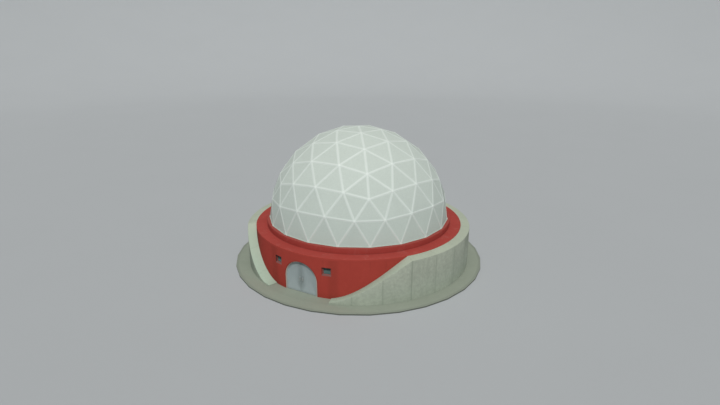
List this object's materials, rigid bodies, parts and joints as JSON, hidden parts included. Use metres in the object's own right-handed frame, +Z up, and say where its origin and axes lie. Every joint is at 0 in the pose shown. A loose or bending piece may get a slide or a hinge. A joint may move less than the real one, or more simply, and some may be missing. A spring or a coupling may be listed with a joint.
{
  "type": "radar dome building",
  "caption": "Geodesic radome on a low round building with an arched double door, hugged by a thick concrete ring wall with sloping ends, on a round plinth.",
  "frame": {"origin": "centre of the plinth's underside, on the dome's axis", "axes": "+Z up along the dome's axis, -Y out through the double door, +X to the right of someone who faces the door"},
  "size_m": [22.38, 22.38, 11.9703],
  "materials": {
    "plinth_concrete": "floated concrete",
    "red_render": "painted render",
    "roof_paint": "painted concrete",
    "concrete": "cast concrete",
    "frame_paint": "satin paint",
    "shell_paint": "matt gel coat",
    "door_frame_paint": "satin paint",
    "door_leaf_paint": "satin paint",
    "handle_steel": "brushed",
    "hinge_steel": "dull",
    "window_frame_paint": "satin paint",
    "window_glass": "clear"
  },
  "bodies": {
    "building": {"plinth": "plinth_concrete", "drum_wall_1": "red_render", "drum_wall_2": "red_render", "drum_wall_3": "red_render", "drum_wall_4": "red_render", "drum_wall_5": "red_render", "drum_wall_6": "red_render", "wall_left_of_door": "red_render", "wall_right_of_door": "red_render", "wall_over_door": "red_render", "roof_ring_1": "roof_paint", "roof_ring_2": "roof_paint", "roof_ring_3": "roof_paint", "roof_ring_4": "roof_paint", "dome_curb_1": "roof_paint", "dome_curb_2": "roof_paint", "ring_wall_1": "concrete", "ring_wall_2": "concrete", "ring_wall_3": "concrete", "ring_wall_4": "concrete", "ring_wall_5": "concrete", "ring_wall_6": "concrete", "ring_wall_7": "concrete", "ring_wing_left": "concrete", "ring_wing_right": "concrete", "dome_frame": "frame_paint", "dome_shell_1": "shell_paint", "dome_shell_2": "shell_paint", "dome_shell_3": "shell_paint", "dome_shell_4": "shell_paint", "dome_shell_5": "shell_paint", "door_frame": "door_frame_paint", "door_hinge_left_1": "hinge_steel", "door_hinge_left_2": "hinge_steel", "door_hinge_right_1": "hinge_steel", "door_hinge_right_2": "hinge_steel", "window_frame_left": "window_frame_paint", "window_frame_right": "window_frame_paint", "window_glass_left": "window_glass", "window_glass_right": "window_glass"},
    "left_leaf": {"door_leaf_left": "door_leaf_paint", "door_handle_left": "handle_steel"},
    "right_leaf": {"door_leaf_right": "door_leaf_paint", "door_handle_right": "handle_steel"}
  },
  "joints": [
    {"name": "left_leaf_hinge", "type": "hinge", "parent": "building", "child": "left_leaf", "pos_m": [-1.5, -8.924, 0.12], "axis": [0, 0, 1], "range_deg": [0, 100]},
    {"name": "right_leaf_hinge", "type": "hinge", "parent": "building", "child": "right_leaf", "pos_m": [1.5, -8.924, 0.12], "axis": [0, 0, -1], "range_deg": [0, 100]}
  ]
}
